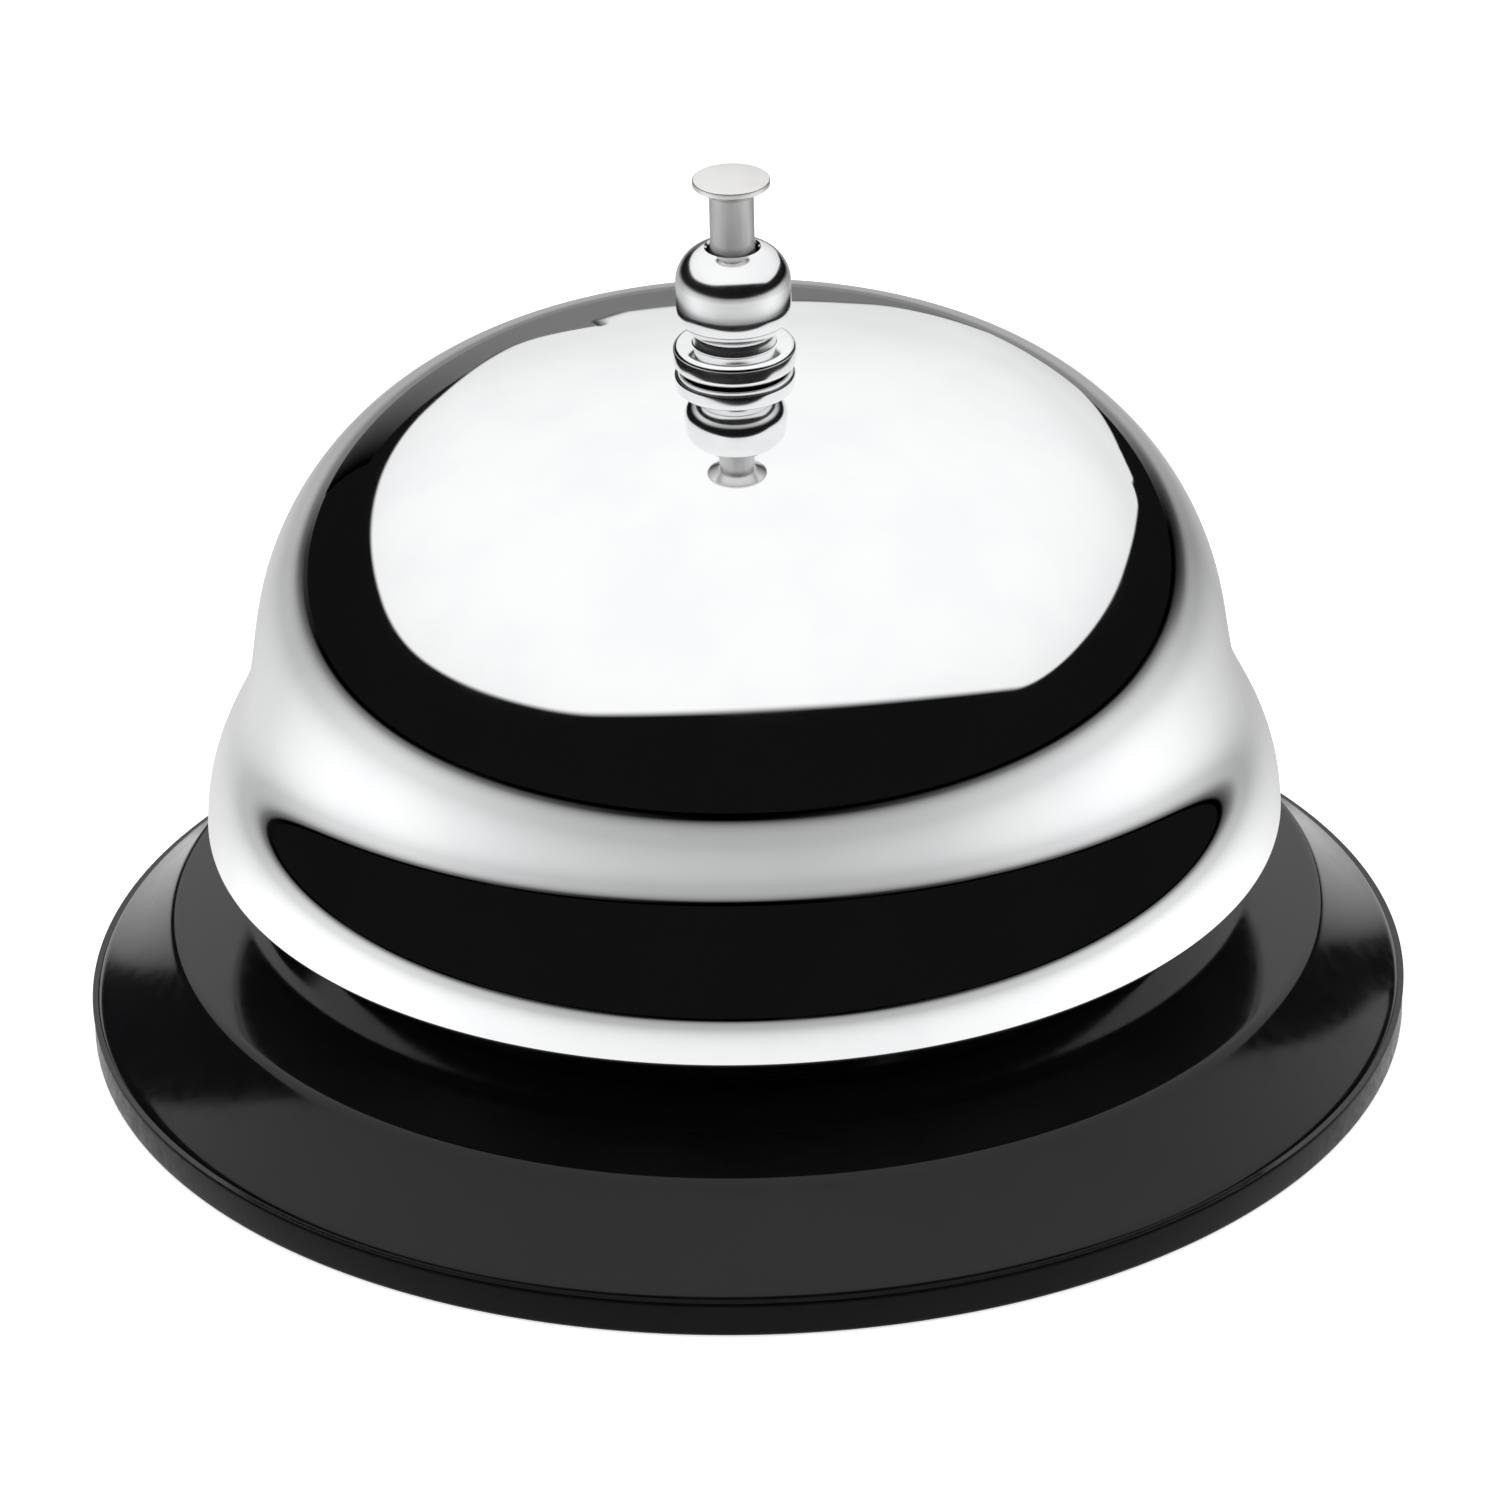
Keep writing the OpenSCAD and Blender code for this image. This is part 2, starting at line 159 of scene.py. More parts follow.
def finish_mesh(name, bm, sharp=30):
    """Object from a bmesh, smooth except where faces meet at more than sharp degrees."""
    bmesh.ops.remove_doubles(bm, verts=bm.verts, dist=1e-7)
    bmesh.ops.recalc_face_normals(bm, faces=bm.faces)
    mesh = bpy.data.meshes.new(name)
    bm.to_mesh(mesh)
    bm.free()
    mesh.shade_smooth()
    mesh.set_sharp_from_angle(angle=math.radians(sharp))
    piece = bpy.data.objects.new(name, mesh)
    bpy.context.scene.collection.objects.link(piece)
    return piece


def turned(name, loop, steps=AROUND):
    """Turns a closed outline about the Z axis."""
    bm = bmesh.new()
    loop = [(max(r, 0.0), z) for r, z in loop]
    rings = []
    for i in range(steps):
        a = 2 * math.pi * i / steps
        c, s = math.cos(a), math.sin(a)
        rings.append([bm.verts.new(Vector((r * c * MM, r * s * MM, z * MM))) for r, z in loop])
    n = len(loop)
    for i in range(steps):
        one, two = rings[i], rings[(i + 1) % steps]
        for k in range(n):
            m = (k + 1) % n
            if max(loop[k][0], loop[m][0]) < 1e-6:
                continue
            bm.faces.new((one[k], two[k], two[m], one[m]))
    return finish_mesh(name, bm)


# ---------- Gong ----------

GONG_T = 0.9
GONG_HOLE_R = 2.6
WAIST_LEN, SKIRT_LEN = 3, 1.6
crown_r, crown_slope = 74, 12.75
shoulder_r, waist_slope = 18.9, 82
flare_r, skirt_slope = 10.3, 62
lip_r = 11.6
crown_c = np.array([0, gong_hi[2] - crown_r])
shoulder_c = crown_c + (crown_r - shoulder_r) * away(crown_slope)
waist_top = shoulder_c + shoulder_r * away(waist_slope)
waist_end = waist_top + WAIST_LEN * along(waist_slope)
flare_c = waist_end + flare_r * away(waist_slope)
skirt_top = flare_c - flare_r * away(skirt_slope)
skirt_end = skirt_top + SKIRT_LEN * along(skirt_slope)
lip_c = skirt_end - lip_r * away(skirt_slope)
gong_r = lip_c[0] + lip_r
hole_slope = math.degrees(math.asin(GONG_HOLE_R / crown_r))

outer = (
    arc(crown_c, crown_r, hole_slope, crown_slope)
    + arc(shoulder_c, shoulder_r, crown_slope, waist_slope)
    + arc(flare_c, -flare_r, waist_slope, skirt_slope)
    + arc(lip_c, lip_r, skirt_slope, 90)
)
outer = soften(outer, 0.9)[::4]
inner = inset(outer, GONG_T)[::2][::-1]
edge = GONG_T / 2
lip_edge = [np.array([gong_r - edge, lip_c[1]]) + edge * away(a) for a in range(100, 270, 10)]
gong = turned("gong_bell", list(outer) + lip_edge + list(inner))
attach(gong, "bell_body")
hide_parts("gong")

# ---------- Base shell: raised middle, step, ledge, corner, hollow skirt and rolled rim ----------

SHELL_T = 0.9
hole_r = 2.02
shell_r = ring_hi[0] - 0.15
plate_z = base_hi[2]
ring_top = base_lo[2]
step_slope, ledge_slope, corner_slope, rim_slope = 42, 5, 54, 38.5
step_r, step_top_r, step_low_r = 28.6, 2.0, 2.2
corner_r, hollow_r, roll_r, roll_drop = 0.5, 25, 1.2, 0.46
roll_c = np.array([shell_r - roll_r, ring_top - roll_drop])
hollow_c = roll_c + (roll_r + hollow_r) * away(rim_slope)
corner_c = hollow_c - (hollow_r + corner_r) * away(corner_slope)
ledge_end = corner_c + corner_r * away(ledge_slope)
step_c = np.array([step_r, plate_z - step_top_r])
step_high = step_c + step_top_r * away(step_slope)
step_len = ((step_high + step_low_r * away(step_slope) - ledge_end) @ away(ledge_slope)
            - step_low_r) / math.sin(math.radians(step_slope - ledge_slope))
low_c = step_high + step_len * along(step_slope) + step_low_r * away(step_slope)
rim_end = 90 - math.degrees(math.asin(roll_drop / roll_r))
top = [np.array([hole_r, plate_z]), np.array([step_r, plate_z])] \
    + arc(step_c, step_top_r, 0, step_slope, 0.1) \
    + arc(low_c, -step_low_r, step_slope, ledge_slope, 0.1) \
    + arc(corner_c, corner_r, ledge_slope, corner_slope, 0.1) \
    + arc(hollow_c, -hollow_r, corner_slope, rim_slope, 0.1) \
    + arc(roll_c, roll_r, rim_slope, rim_end, 0.1)
top = soften(top, 0.15)
inside = inset(top, SHELL_T)
inside[:, 0] = np.maximum(inside[:, 0], hole_r)
inside = inside[inside[:, 1] > ring_top + 0.1]
top = thin(top, 3)
inside = thin(inside, 8)
foot = rounded([(top[-1][0], ring_top + 0.08), (top[-1][0] - 0.06, ring_top, 0.04),
                (inside[-1][0] + 0.1, ring_top, 0.05)])
shell = turned("base_enamel", top + foot + inside[::-1])
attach(shell, "bell_body")
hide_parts("base_shell")

# ---------- Foot ring ----------

RING_IN_R, PLATE_SEAT_R, PLATE_SEAT_Z = 36, 38.5, 1.2
UPSTAND_R, UPSTAND_TOP, TREAD_D = 39.7, 3.1, 0.3
ring_r = ring_hi[0]
ring_loop = [(RING_IN_R, 0, 0.2)]
for tread_in, tread_out in ((37.4, 38.2), (39.4, 40.2)):
    ring_loop += [(tread_in, 0, 0.1), (tread_in, TREAD_D, 0.1),
                  (tread_out, TREAD_D, 0.1), (tread_out, 0, 0.1)]
ring_loop = rounded(ring_loop + [
    (ring_r, 0, 0.35), (ring_r, ring_top, 0.35), (UPSTAND_R, ring_top, 0.1),
    (UPSTAND_R, UPSTAND_TOP, 0.25), (PLATE_SEAT_R, UPSTAND_TOP, 0.25),
    (PLATE_SEAT_R, PLATE_SEAT_Z, 0.1), (RING_IN_R, PLATE_SEAT_Z, 0.2)])
ring = turned("foot_rubber_ring", ring_loop)
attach(ring, "bell_body")
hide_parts("foot_ring")

# ---------- Knob ----------

knob_z = knob_lo[2]
bead_c, bead_round = 1.18, 2.45
bead_low, bead_high = knob_z + 4.33, knob_z + 5.7
mouth_r, neck_r, flange_top = 1.66, 2.62, knob_z + 1.55
mouth_a = math.degrees(math.asin((mouth_r - bead_c) / bead_round))
neck_a = 180 - math.degrees(math.asin((neck_r - bead_c) / bead_round))
bead = arc((bead_c, bead_high), bead_round, mouth_a + 3, 90, 0.1) \
    + arc((bead_c, bead_low), bead_round, 90, neck_a, 0.1)
bead = [p for i, p in enumerate(bead) if i == 0 or np.hypot(*(p - bead[i - 1])) > 1e-6]
flange_r, recess_r, thread_r = 3.88, 3.07, 2.52
recess_z, thread_end = knob_z + 0.5, knob_z + 6.02
rest = rounded([(neck_r, flange_top + 0.5), (neck_r, flange_top, 0.12),
                (flange_r, flange_top, 0.42), (flange_r, knob_z, 0.42), (recess_r, knob_z, 0.05),
                (recess_r, recess_z), (thread_r, recess_z), (thread_r, thread_end),
                (mouth_r, thread_end), (mouth_r, bead_high + 2.2)])
knob = turned("knob_turned", bead + rest, 192)
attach(knob, "bell_body")
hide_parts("knob")

# ---------- Plunger ----------

BUTTON_RIM, BUTTON_H, CLIP_GROOVE_R = 0.4, 1, 1
button_z, button_r = button_hi[2], button_hi[0]
rod_r = rod_hi[0]
rod_tip, rod_top = rod_lo[2], rod_hi[2]
button = turned("plunger_cap", rounded([
    (0, button_z), (button_r, button_z, 0.12), (button_r, button_z - BUTTON_RIM, 0.12),
    (rod_r + 0.15, button_z - BUTTON_H, 0.1), (rod_r, button_z - BUTTON_H),
    (rod_r, rod_top), (0, rod_top)]), 128)
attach(button, "plunger")
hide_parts("plunger_button")

groove_lo, groove_hi = clip_lo[2] - 0.02, clip_hi[2] + 0.02
tip = arc((0, rod_tip + rod_r), rod_r, 180, 90, 0.1)
rod = turned("plunger_shaft", tip + rounded([
    (rod_r, groove_lo, 0.05), (CLIP_GROOVE_R, groove_lo, 0.05),
    (CLIP_GROOVE_R, groove_hi, 0.05), (rod_r, groove_hi, 0.05),
    (rod_r, rod_top), (0, rod_top)]), 96)
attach(rod, "plunger")
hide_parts("plunger_rod")

# ---------- Spring: a helix with a closed turn at each end ----------

WIRE, COIL_R, TURNS = 0.5, 2.2, 6
PER_TURN, WIRE_SIDES = 40, 14
end_pitch = WIRE * 1.04
open_pitch = (spring_hi[2] - spring_lo[2] - WIRE - 2 * end_pitch) / (TURNS - 2)
bm = bmesh.new()
coil = []
for u in np.linspace(0, TURNS, TURNS * PER_TURN + 1):
    z = spring_lo[2] + WIRE / 2 + end_pitch * (min(u, 1) + max(u - TURNS + 1, 0)) \
        + open_pitch * max(min(u, TURNS - 1) - 1, 0)
    a = 2 * math.pi * u
    section = []
    for b in np.linspace(0, 2 * math.pi, WIRE_SIDES, endpoint=False):
        r = COIL_R + WIRE / 2 * math.cos(b)
        section.append(bm.verts.new(Vector((
            r * math.cos(a), r * math.sin(a), z + WIRE / 2 * math.sin(b))) * MM))
    coil.append(section)
for one, two in zip(coil, coil[1:]):
    for k in range(len(one)):
        m = (k + 1) % len(one)
        bm.faces.new((one[k], two[k], two[m], one[m]))
bm.faces.new(coil[0])
bm.faces.new(coil[-1][::-1])
spring = finish_mesh("plunger_coil", bm, 50)
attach(spring, "bell_body")
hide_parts("plunger_spring")
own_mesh(spring)

# ---------- Materials ----------


def make(tree, kind, props=None, **inputs):
    """Adds a node. Inputs are given by name, as numbers or as sockets to link."""
    n = tree.nodes.new(kind)
    for key, value in (props or {}).items():
        setattr(n, key, value)
    for key, value in inputs.items():
        socket = n.inputs[int(key[1:])] if key[0] == "_" else n.inputs[key.replace("_", " ")]
        if isinstance(value, bpy.types.NodeSocket):
            tree.links.new(value, socket)
        else:
            socket.default_value = value
    return n


def math_node(tree, op, a, b=0.0):
    return make(tree, "ShaderNodeMath", {"operation": op}, _0=a, _1=b).outputs[0]


def remap(tree, value, a, b, c, d):
    """Value from the range a..b to c..d, easing at both ends."""
    return make(tree, "ShaderNodeMapRange", {"interpolation_type": "SMOOTHSTEP"}, Value=value,
                **{"From_Min": a, "From_Max": b, "To_Min": c, "To_Max": d}).outputs[0]


def noise(tree, vector, scale, detail=3.0, rough=0.5, distort=0.0):
    return make(tree, "ShaderNodeTexNoise", None, Vector=vector, Scale=scale, Detail=detail,
                Roughness=rough, Distortion=distort).outputs[0]


def mix_colour(tree, fac, a, b):
    n = make(tree, "ShaderNodeMix", {"data_type": "RGBA"})
    for i, v in ((0, fac), (6, a), (7, b)):
        if isinstance(v, bpy.types.NodeSocket):
            tree.links.new(v, n.inputs[i])
        else:
            n.inputs[i].default_value = v
    return n.outputs[2]


def rgb(r, g, b):
    return (r, g, b, 1.0)


def new_material(name):
    mat = bpy.data.materials.new(name)
    mat.use_nodes = True
    mat.node_tree.nodes.clear()
    out = mat.node_tree.nodes.new("ShaderNodeOutputMaterial")
    shader = mat.node_tree.nodes.new("ShaderNodeBsdfPrincipled")
    mat.node_tree.links.new(shader.outputs[0], out.inputs[0])
    return mat, mat.node_tree, shader


def position(tree, stretch=(1, 1, 1)):
    """Place on the piece, scaled by stretch for a grain that runs one way."""
    co = make(tree, "ShaderNodeTexCoord").outputs["Object"]
    if stretch == (1, 1, 1):
        return co
    return make(tree, "ShaderNodeVectorMath", {"operation": "MULTIPLY"}, _0=co,
                _1=stretch).outputs[0]


def turned_lines(tree, scale):
    """Noise that is even round the Z axis: the fine marks of turning or polishing."""
    parts = make(tree, "ShaderNodeSeparateXYZ", None, Vector=position(tree))
    x, y, z = parts.outputs
    r = math_node(tree, "SQRT", math_node(tree, "ADD", math_node(tree, "MULTIPLY", x, x),
                                          math_node(tree, "MULTIPLY", y, y)))
    v = make(tree, "ShaderNodeCombineXYZ", None, X=r, Y=0.0, Z=z).outputs[0]
    return noise(tree, v, scale, 4.0, 0.6)


def metal(name, colour, dark, rough, lines=None, grain=None, waves=0.0, line_bump=0.0,
          grain_bump=0.0):
    """Bare or plated metal: smudged roughness, fine lines, grain and a faint unevenness."""
    mat, tree, shader = new_material(name)
    shader.inputs["Metallic"].default_value = 1.0
    co = position(tree)
    smudge = noise(tree, co, 90, 4.0, 0.6, 0.4)
    tint = remap(tree, noise(tree, co, 160, 3.0), 0.35, 0.7, 0.0, 1.0)
    tree.links.new(mix_colour(tree, tint, rgb(*colour), rgb(*dark)), shader.inputs["Base Color"])
    mark = noise(tree, position(tree, grain[0]), grain[1], 5.0, 0.65) if grain else None
    line = turned_lines(tree, lines) if lines else None
    r = remap(tree, smudge, 0.35, 0.7, rough[0], rough[1])
    for part, share in ((line, 0.35), (mark, 0.5)):
        if part is not None:
            r = math_node(tree, "ADD", r, math_node(
                tree, "MULTIPLY", math_node(tree, "SUBTRACT", part, 0.5), share * rough[1]))
    tree.links.new(make(tree, "ShaderNodeClamp", None, Value=r, Min=0.01, Max=1.0).outputs[0],
                   shader.inputs["Roughness"])
    normal = None
    for part, size in ((line, line_bump), (mark, grain_bump),
                       (noise(tree, co, 45, 1.0) if waves else None, waves)):
        if part is None or size == 0.0:
            continue
        bump = make(tree, "ShaderNodeBump", None, Strength=1.0, Distance=size, Height=part)
        if normal is not None:
            tree.links.new(normal, bump.inputs["Normal"])
        normal = bump.outputs[0]
    if normal is not None:
        tree.links.new(normal, shader.inputs["Normal"])
    return mat


def solid(name, colour, other, rough, grain_scale, bump, ior=1.5, mottle=60.0):
    """Paint, rubber, fibre or plastic with a mottled tone and a fine surface grain."""
    mat, tree, shader = new_material(name)
    shader.inputs["IOR"].default_value = ior
    tone = remap(tree, noise(tree, position(tree), mottle, 5.0, 0.6), 0.3, 0.75, 0.0, 1.0)
    tree.links.new(mix_colour(tree, tone, rgb(*colour), rgb(*other)), shader.inputs["Base Color"])
    fine = noise(tree, position(tree), grain_scale, 4.0, 0.6)
    tree.links.new(remap(tree, fine, 0.3, 0.7, rough[0], rough[1]), shader.inputs["Roughness"])
    bumped = make(tree, "ShaderNodeBump", None, Strength=1.0, Distance=bump, Height=fine)
    tree.links.new(bumped.outputs[0], shader.inputs["Normal"])
    return mat


chrome = metal("gong_mirror_chrome", (0.90, 0.905, 0.91), (0.87, 0.875, 0.885), (0.02, 0.05),
               lines=2600, waves=2e-6, line_bump=1e-8)
dull = metal("gong_inner_plating", (0.42, 0.42, 0.425), (0.30, 0.30, 0.305), (0.38, 0.5),
             grain=((1, 1, 1), 900), grain_bump=1e-6)
knob_chrome = metal("knob_polished_chrome", (0.88, 0.885, 0.89), (0.82, 0.825, 0.835),
                    (0.10, 0.17), lines=4000, line_bump=1e-7)
nickel = metal("button_satin_nickel", (0.80, 0.795, 0.785), (0.70, 0.69, 0.68), (0.18, 0.28),
               lines=5000, line_bump=3e-7, grain=((1, 1, 1), 2500), grain_bump=2e-7)
drawn = metal("rod_drawn_steel", (0.66, 0.66, 0.655), (0.55, 0.55, 0.545), (0.34, 0.5),
              grain=((1, 1, 0.04), 5200), grain_bump=8e-7)
steel = metal("bright_pressed_steel", (0.62, 0.625, 0.63), (0.50, 0.505, 0.515), (0.2, 0.36),
              grain=((1, 0.12, 1), 2200), grain_bump=8e-7, waves=2e-6)
zinc = metal("zinc_plate", (0.66, 0.68, 0.70), (0.55, 0.57, 0.56), (0.24, 0.42),
             grain=((1, 1, 1), 900), grain_bump=6e-7)
wire = metal("spring_wire", (0.64, 0.645, 0.65), (0.5, 0.5, 0.51), (0.16, 0.3),
             grain=((1, 1, 1), 3000), grain_bump=3e-7)
black_clip = metal("blued_clip", (0.05, 0.052, 0.06), (0.03, 0.03, 0.034), (0.25, 0.42),
                   grain=((1, 1, 1), 2500), grain_bump=5e-7)
brass = metal("turned_brass", (0.80, 0.58, 0.26), (0.70, 0.48, 0.20), (0.12, 0.26),
              grain=((1, 1, 1), 1800), grain_bump=5e-7)
enamel = solid("black_gloss_enamel", (0.0045, 0.0045, 0.005), (0.007, 0.007, 0.008),
               (0.09, 0.15), 700, 2.5e-7, ior=1.38)
rubber = solid("moulded_rubber", (0.003, 0.003, 0.0033), (0.005, 0.005, 0.0056), (0.3, 0.42),
               1500, 4e-6, ior=1.2)
fibre = solid("red_fibre", (0.34, 0.075, 0.045), (0.20, 0.04, 0.025), (0.5, 0.75), 1800, 8e-6,
              mottle=900)
nylon = solid("natural_nylon", (0.80, 0.77, 0.69), (0.70, 0.67, 0.58), (0.35, 0.5), 1200, 3e-6,
              mottle=300)


def paint(obj, mat):
    obj.data.materials.clear()
    obj.data.materials.append(mat)


paint(gong, chrome)
# The inside of the gong keeps a dull plating
gong.data.materials.append(dull)
middle = Vector((0, 0, gong_lo[2] * MM + 0.006))
for face in gong.data.polygons:
    face.material_index = int(face.normal.dot(face.center - middle) < 0)
paint(shell, enamel)
paint(ring, rubber)
paint(knob, knob_chrome)
paint(button, nickel)
paint(rod, drawn)
paint(spring, wire)
CAD_FINISH = {
    "bottom_plate": zinc, "base_boss": steel, "bottom_screw": zinc, "yoke": steel,
    "yoke_screws": zinc, "yoke_washers": zinc, "yoke_nuts": zinc, "center_post": steel,
    "lower_gong_washer": fibre, "upper_gong_washer": fibre, "plunger_clip": black_clip,
    "spring_seat": zinc, "hammer_lever": steel, "hammer_head": brass,
    "pivot_pin": drawn, "pivot_clip": black_clip, "pivot_spacers": nylon,
}
for node_name, finish in CAD_FINISH.items():
    paint(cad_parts[node_name], finish)

# ---------- Studio: floor, softbox, backdrop ----------


def flat(name, points, fade=0.0, cuts=0):
    """Stage panel. Its corners are cut round, and its light fades over a rim of fade metres."""
    ring = [np.array(p, float) for p in points]
    for _ in range(cuts):
        after = ring[1:] + ring[:1]
        ring = [q for a, b in zip(ring, after) for q in (0.75 * a + 0.25 * b, 0.25 * a + 0.75 * b)]
    n = len(ring)
    mesh = bpy.data.meshes.new(name)
    if fade:
        centre = sum(ring) / n
        inner_ring = []
        for i, p in enumerate(ring):
            side = ring[(i + 1) % n] - ring[i - 1]
            normal = np.cross(side, np.cross(side, centre - p))
            normal /= -np.linalg.norm(normal)
            inner_ring.append(p + fade * normal)
        mesh.from_pydata(ring + inner_ring, [], [list(range(n, 2 * n))] + [
            [i, (i + 1) % n, n + (i + 1) % n, n + i] for i in range(n)])
    else:
        mesh.from_pydata(ring, [], [list(range(n))])
    level = mesh.attributes.new("level", "FLOAT", "POINT")
    for i, item in enumerate(level.data):
        item.value = 1.0 if i >= n or not fade else 0.0
    obj = bpy.data.objects.new(name, mesh)
    bpy.context.scene.collection.objects.link(obj)
    return obj


def glow(name, strength_of):
    """Emission whose strength is a function of the place on the panel."""
    mat = bpy.data.materials.new(name)
    mat.use_nodes = True
    tree = mat.node_tree
    tree.nodes.clear()
    out = make(tree, "ShaderNodeOutputMaterial")
    parts = make(tree, "ShaderNodeSeparateXYZ", None,
                 Vector=make(tree, "ShaderNodeTexCoord").outputs["Object"]).outputs
    level = remap(tree, make(tree, "ShaderNodeAttribute", {"attribute_name": "level"}).outputs[2],
                  0.0, 1.0, 0.0, 1.0)
    light = make(tree, "ShaderNodeEmission", None, Color=rgb(1, 1, 1),
                 Strength=math_node(tree, "MULTIPLY", level, strength_of(tree, *parts)))
    tree.links.new(light.outputs[0], out.inputs[0])
    return mat, tree, light, out


def distance(tree, x, y):
    return math_node(tree, "SQRT", math_node(tree, "ADD", math_node(tree, "MULTIPLY", x, x),
                                             math_node(tree, "MULTIPLY", y, y)))


def product(tree, *factors):
    value = factors[0]
    for factor in factors[1:]:
        value = math_node(tree, "MULTIPLY", value, factor)
    return value


# Softbox over the bell
SOFT_Z = 0.5
WALL_Y = 2.4
soft = flat("studio_softbox", [
    (0.2, -0.64, SOFT_Z), (-0.32, -0.67, SOFT_Z), (-0.66, -0.66, SOFT_Z), (-1.1, -0.34, SOFT_Z),
    (-1.30, 0.12, SOFT_Z), (-0.98, 0.66, SOFT_Z), (-0.74, 1.52, SOFT_Z), (-0.47, 1.8, SOFT_Z),
    (-0.35, 2.8, SOFT_Z), (2.2, 2.8, SOFT_Z), (1.50, 1.1, SOFT_Z), (1.53, 0.4, SOFT_Z),
    (1.50, -0.43, SOFT_Z), (0.94, -0.53, SOFT_Z)], fade=0.07, cuts=3)
soft.data.materials.append(glow("studio_softbox", lambda tree, x, y, z: remap(
    tree, distance(tree, x, y), 0.2, 2.2, 1.09, 0.86))[0])

# Bright wall at the back right, and a grey sweep behind and under it
wall = flat("studio_wall", [
    (-0.22, WALL_Y, 0.34), (0.0, WALL_Y, 0.31), (0.21, WALL_Y, 0.24), (0.36, WALL_Y, 0.04),
    (0.43, WALL_Y, -0.06), (0.66, WALL_Y, -0.06), (0.88, WALL_Y, 0.04), (1.12, WALL_Y, 0.19),
    (1.4, WALL_Y, 0.34), (1.8, WALL_Y, 0.42), (1.8, WALL_Y, SOFT_Z + 0.12),
    (-0.22, WALL_Y, SOFT_Z + 0.12)], fade=0.03, cuts=1)
wall.data.materials.append(glow("studio_wall", lambda tree, x, y, z: remap(
    tree, z, 0.0, 0.5, 0.76, 0.86))[0])
grey = flat("studio_grey", [
    (-1.45, WALL_Y + 0.05, -0.05), (0.5, WALL_Y + 0.05, -0.05), (0.5, WALL_Y + 0.05, 0.6),
    (-1.45, WALL_Y + 0.05, 0.6)])
grey.data.materials.append(glow("studio_grey", lambda tree, x, y, z: remap(
    tree, x, -1.45, -0.2, 0.0, 0.2))[0])
for panel in (soft, wall, grey):
    panel.visible_camera = False

# Floor: white to the camera. In reflections it glows with painted light, a table that is brightest
# by the bell
FLOOR, FLOOR_Z = 6.0, -2e-5
floor = flat("studio_floor", [(-FLOOR, -FLOOR, FLOOR_Z), (FLOOR, -FLOOR, FLOOR_Z),
                              (FLOOR, FLOOR, FLOOR_Z), (-FLOOR, FLOOR, FLOOR_Z)])


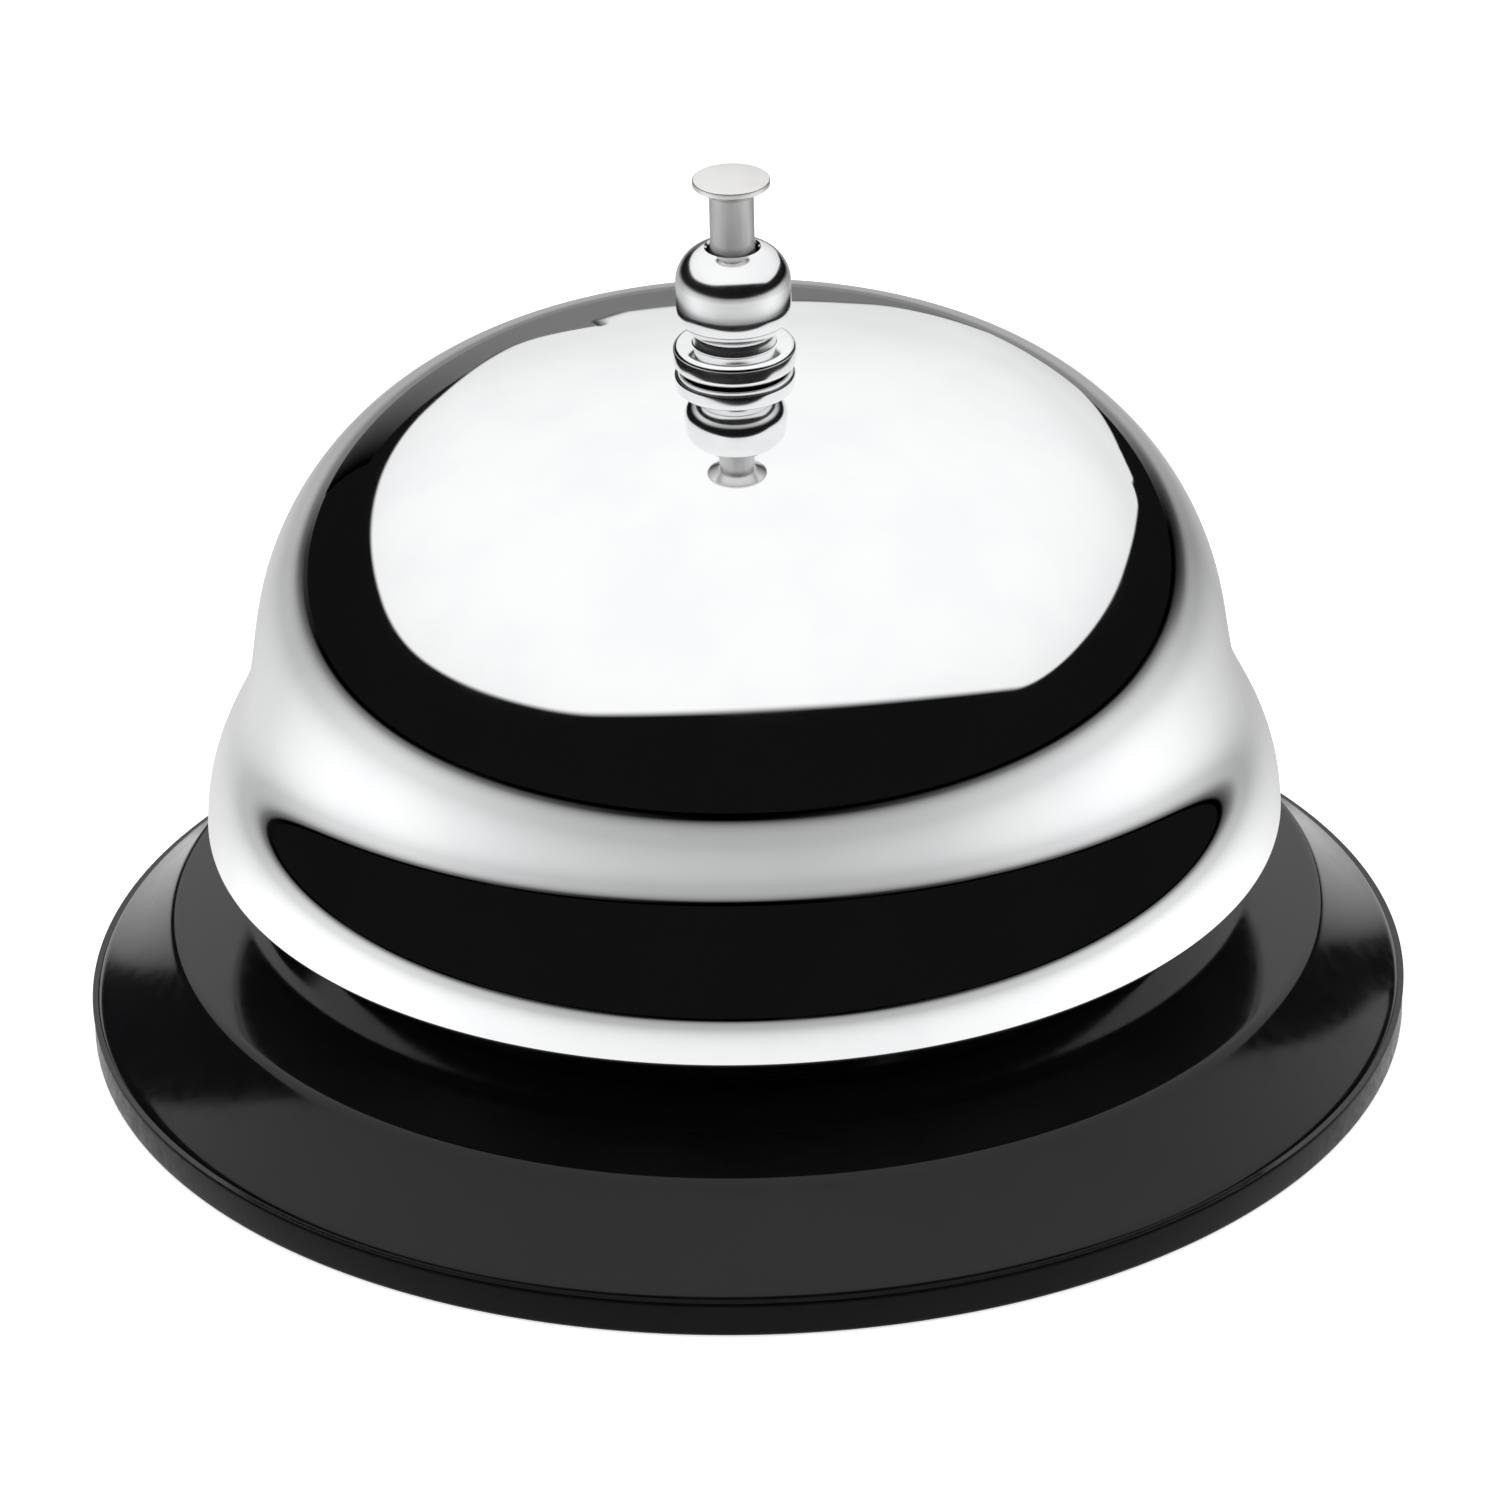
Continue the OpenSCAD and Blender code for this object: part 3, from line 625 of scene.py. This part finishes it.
def painted_table_glow(tree, x, y, _z):
    """Painted light of the table: a painted pool of light by the bell, dimmer behind it, a body,
    wide sides, and what lies behind the bell.
    """
    r = distance(tree, x, y)
    across, back_to = math_node(tree, "DIVIDE", x, r), math_node(tree, "DIVIDE", y, r)
    side = math_node(tree, "ABSOLUTE", across)
    behind = remap(tree, back_to, -0.3, 0.9, 0.0, 1.0)
    near = product(tree, remap(tree, r, 0.06, 0.19, 0.5, 0.0),
                   math_node(tree, "SUBTRACT", 1.0, product(tree, behind, 0.6)))
    body = product(tree, remap(tree, r, 0.16, 0.62, 0.49, 0.0),
                   math_node(tree, "SUBTRACT", 1.0, product(tree, behind, 0.55)))
    wide = product(tree, remap(tree, r, 0.2, 1.3, 0.36, 0.0), product(tree, side, side, side))
    back = product(tree, remap(tree, back_to, 0.75, 0.98, 0.0, 0.25),
                   remap(tree, r, 0.08, 0.3, 0.6, 1.0))
    total = back
    for part in (near, body, wide):
        total = math_node(tree, "ADD", total, part)
    # Painted shade darkens the back right of the table's glow and painted light brightens its back
    # left
    right = product(tree, remap(tree, across, 0.3, 0.6, 0.0, 1.0),
                    remap(tree, back_to, 0.35, 0.7, 0.0, 1.0),
                    remap(tree, r, 0.24, 0.42, 0.0, 0.65))
    left = product(tree, remap(tree, across, -0.6, -0.3, 0.16, 0.0),
                   remap(tree, back_to, 0.4, 0.75, 0.0, 1.0),
                   remap(tree, r, 0.24, 0.5, 1.0, 0.2))
    total = product(tree, total, math_node(tree, "SUBTRACT", 1.0, right))
    return math_node(tree, "ADD", total, left)


floor_mat, tree, table_light, out = glow("studio_floor", painted_table_glow)
pale = make(tree, "ShaderNodeBsdfDiffuse", None, Color=rgb(0.8, 0.8, 0.8))
lift = make(tree, "ShaderNodeEmission", None, Color=rgb(1, 1, 1), Strength=0.72)
seen = make(tree, "ShaderNodeAddShader", None, _0=pale.outputs[0], _1=lift.outputs[0])
ray = make(tree, "ShaderNodeLightPath").outputs["Is Camera Ray"]
either = make(tree, "ShaderNodeMixShader", None, _0=ray, _1=table_light.outputs[0],
              _2=seen.outputs[0])
tree.links.new(either.outputs[0], out.inputs[0])
floor.data.materials.append(floor_mat)

world = bpy.data.worlds.new("studio")
bpy.context.scene.world = world
world.use_nodes = True
tree = world.node_tree
tree.nodes.clear()
dark = make(tree, "ShaderNodeBackground", None, Color=rgb(1, 1, 1), Strength=0.006)
white = make(tree, "ShaderNodeBackground", None, Color=rgb(1, 1, 1), Strength=1.0)
ray = make(tree, "ShaderNodeLightPath").outputs["Is Camera Ray"]
sky = make(tree, "ShaderNodeMixShader", None, _0=ray, _1=dark.outputs[0], _2=white.outputs[0])
out = make(tree, "ShaderNodeOutputWorld")
tree.links.new(sky.outputs[0], out.inputs[0])

bpy.context.scene.view_settings.view_transform = "Standard"

# ---------- Camera ----------

CAMERA_AT = (0, -0.48929, 0.27119)
LOOKS_DOWN, ROLL, SWING = 27.34, -1.2, -0.0009  # degrees, degrees, radians
camera = bpy.data.objects.new("camera", bpy.data.cameras.new("camera"))
bpy.context.scene.collection.objects.link(camera)
camera.data.sensor_width = 36
camera.data.lens = 205.84
camera.data.clip_start = 0.01
camera.data.clip_end = 100
camera.matrix_world = (
    Matrix.Translation(CAMERA_AT)
    @ Matrix.Rotation(SWING, 4, "Z")
    @ Matrix.Rotation(math.radians(90 - LOOKS_DOWN), 4, "X")
    @ Matrix.Rotation(math.radians(ROLL), 4, "Z")
)
bpy.context.scene.camera = camera
